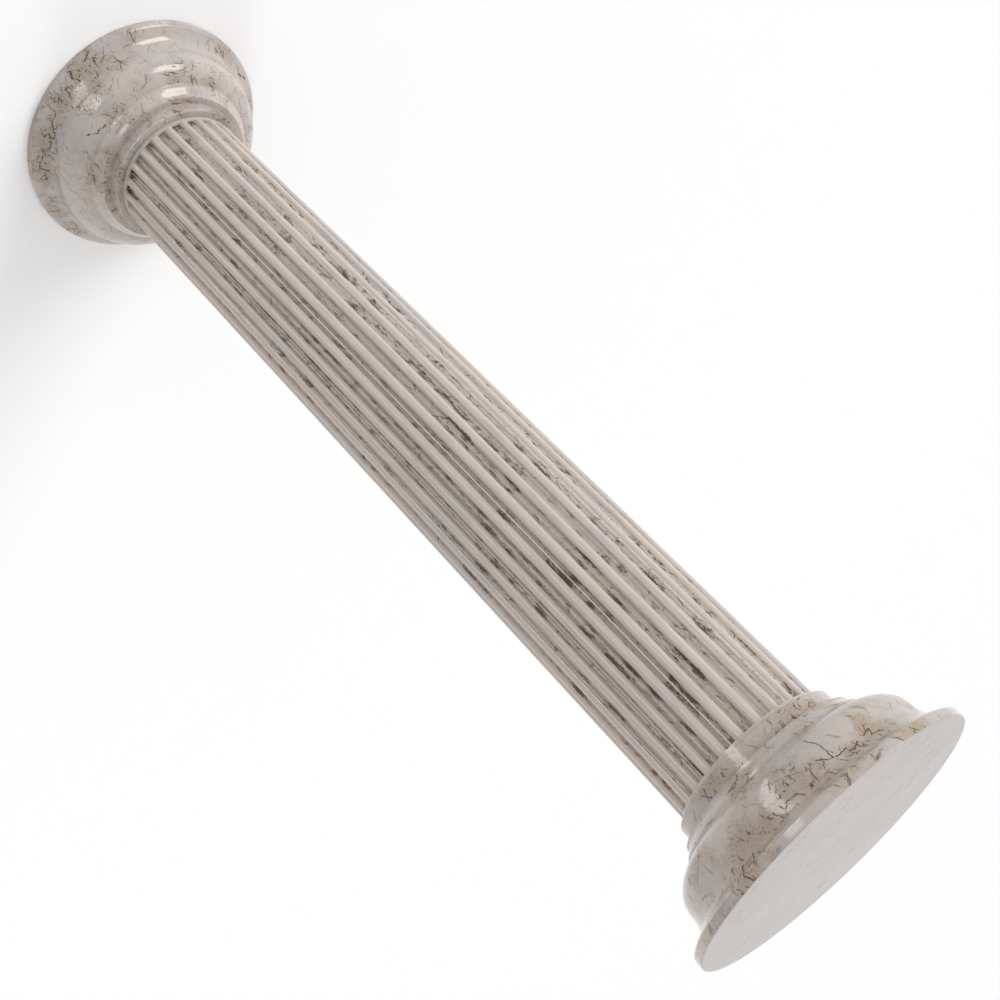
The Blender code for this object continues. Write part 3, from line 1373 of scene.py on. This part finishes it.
HEAD_PATCHES = tuple(Patch(*mark) for mark in (
    (-114, 2.351, 0.010, 1.5, 0.014), (-124, 2.346, 0.014, 1.0, 0.016),
    (-127, 2.318, 0.010, 0.9, 0.014), (-104, 2.362, 0.010, 0.8, 0.040),
    (-79, 2.352, 0.014, 1.1, 0.022), (-72, 2.338, 0.018, 0.7, 0.030),
    (-60, 2.216, 0.010, 1.5, 0.012), (-125, 2.222, 0.012, 0.9, 0.020),
    (-55, 2.334, 0.020, 0.7, 0.022), (-130, 2.392, 0.008, 0.9, 0.030),
    (-62, 2.385, 0.012, 0.9, 0.020), (-56, 2.345, 0.030, 0.7, 0.045),
    (-127, 2.356, 0.014, 0.7, 0.040), (-88, 2.345, 0.012, 0.8, 0.030),
    (-43, 2.300, 0.020, 0.5, 0.030),
))
SHAFT_CRACKS = (
    Crack(((-109.5, 1.110), (-110, 1.150), (-113, 1.164), (-113, 1.200), (-110.8, 1.215),
           (-113, 1.232), (-112, 1.262)), 0.0014),
    Crack(((-110, 1.250), (-113.5, 1.275), (-111, 1.330), (-110.5, 1.350)), 0.0024),
    Crack(((-112, 1.262), (-113, 1.300)), 0.0026),
    Crack(((-94, 1.302), (-97.5, 1.312), (-101, 1.330)), 0.0015),
    Crack(((-101.5, 1.332), (-101.5, 1.405)), 0.0013),
    Crack(((-79, 0.602), (-81.5, 0.618)), 0.0022),
    Crack(((-94.5, 0.824), (-98, 0.834)), 0.0011),
)
SHAFT_STAINS = {
    -19.5: ((0.895, 0.012), (1.560, 0.014), (1.620, 0.016), (1.900, 0.012)),
    -37.5: ((0.885, 0.012), (0.975, 0.010), (1.600, 0.030), (1.770, 0.006), (1.990, 0.010)),
    -50: ((0.455, 0.007), (0.520, 0.010), (0.645, 0.008), (1.575, 0.008), (1.620, 0.010),
          (1.675, 0.010), (1.760, 0.012)),
    -55: ((0.625, 0.007), (0.830, 0.014), (0.990, 0.018), (1.040, 0.010), (1.830, 0.014),
          (2.005, 0.016), (2.172, 0.016)),
    -65.5: ((0.595, 0.008), (0.858, 0.014), (0.948, 0.008), (1.560, 0.014), (1.630, 0.014),
            (1.860, 0.022), (1.955, 0.018)),
    -70.5: ((0.962, 0.012), (1.015, 0.012), (1.430, 0.010), (1.695, 0.018), (1.965, 0.022),
            (2.030, 0.012), (2.120, 0.010)),
    -80: ((0.615, 0.010), (1.290, 0.008), (1.575, 0.018), (1.750, 0.024), (1.830, 0.008)),
    -85: ((0.345, 0.007), (0.405, 0.006), (0.760, 0.014), (1.775, 0.012), (2.040, 0.012),
          (2.095, 0.010)),
    -96: ((0.287, 0.006), (0.385, 0.016), (0.520, 0.014), (1.520, 0.034), (1.620, 0.016),
          (1.755, 0.022), (1.860, 0.016)),
    -101: ((1.365, 0.036), (1.540, 0.020), (1.760, 0.024), (2.040, 0.030)),
    -111.5: ((0.272, 0.018), (0.382, 0.006), (0.515, 0.018), (0.686, 0.015), (0.955, 0.014),
             (1.290, 0.030), (1.442, 0.012), (1.492, 0.020), (1.775, 0.007), (1.910, 0.008),
             (1.995, 0.022)),
    -127: ((0.416, 0.008), (0.640, 0.020), (0.852, 0.018), (0.980, 0.022), (1.190, 0.012),
           (1.470, 0.014), (1.545, 0.026), (1.860, 0.020), (1.990, 0.022), (2.062, 0.008)),
    -142.5: ((0.382, 0.012), (0.600, 0.012), (0.900, 0.014), (0.985, 0.014), (1.470, 0.012),
             (1.550, 0.016), (1.830, 0.014), (1.930, 0.018), (2.170, 0.018)),
}

# Stains beyond this bearing, on the lit side, look darker in the photograph
LIT_SIDE = -120.0
LIT_STAIN_WEIGHT = 1.4

# The dirt at the foot of the flutes that show
FLUTE_FOOT_STAIN = Patch(0, 0.213, 0.006, 1.15, 0.007)
FLUTE_FOOT_BEARINGS = (-37.5, -52.5, -67.5, -82.5, -97.5, -112.5, -127.5)


BASE_MARBLE = Marble("base_polished_marble", "base_marble")
SHAFT_MARBLE = FlutedMarble(
    "shaft_polished_marble", "shaft_marble",
    pale=(0.475, 0.410, 0.365), cool=(0.430, 0.385, 0.362))
CAPITAL_MARBLE = Marble(
    "capital_polished_marble", "capital_marble", pale=(0.425, 0.372, 0.334),
    cool=(0.385, 0.349, 0.333), warm=(0.330, 0.256, 0.192), browning=0.95)


def shaft_stains() -> List[Patch]:
    """Lay out the stains in the flutes.

    Returns:
        The listed stains, and one at the foot of each flute that shows.
    """
    stains = [Patch(bearing, height, along, LIT_STAIN_WEIGHT if bearing < LIT_SIDE else 1.0)
              for bearing, flute in SHAFT_STAINS.items() for height, along in flute]
    return stains + [replace(FLUTE_FOOT_STAIN, bearing=bearing) for bearing in FLUTE_FOOT_BEARINGS]


def corners() -> List[List[float]]:
    """Return the shown object's lowest and highest corners as plain lists."""
    return [[float(number) for number in corner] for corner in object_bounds()]


def main() -> None:
    """Load the solids, build the column's looks and set the studio round it."""
    logging.basicConfig(level=logging.INFO, format="%(message)s")
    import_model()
    bpy.context.scene.view_settings.view_transform = "Standard"
    low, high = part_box("shaft")

    foot = EndBlock(Side.FOOT, BASE_MARBLE, FOOT_CRACKS, FOOT_PATCHES)
    shaft = Shaft(SHAFT_MARBLE, low.z, high.z, SHAFT_CRACKS, shaft_stains())
    head = EndBlock(Side.HEAD, CAPITAL_MARBLE, HEAD_CRACKS, HEAD_PATCHES)
    for part in (foot, shaft, head):
        piece = part.build()
        LOG.info("%s: %d faces", piece.name, len(piece.data.polygons))

    studio = Studio()
    studio.lay_floor()
    studio.light()
    studio.place_camera()


if __name__ == "__main__":
    main()
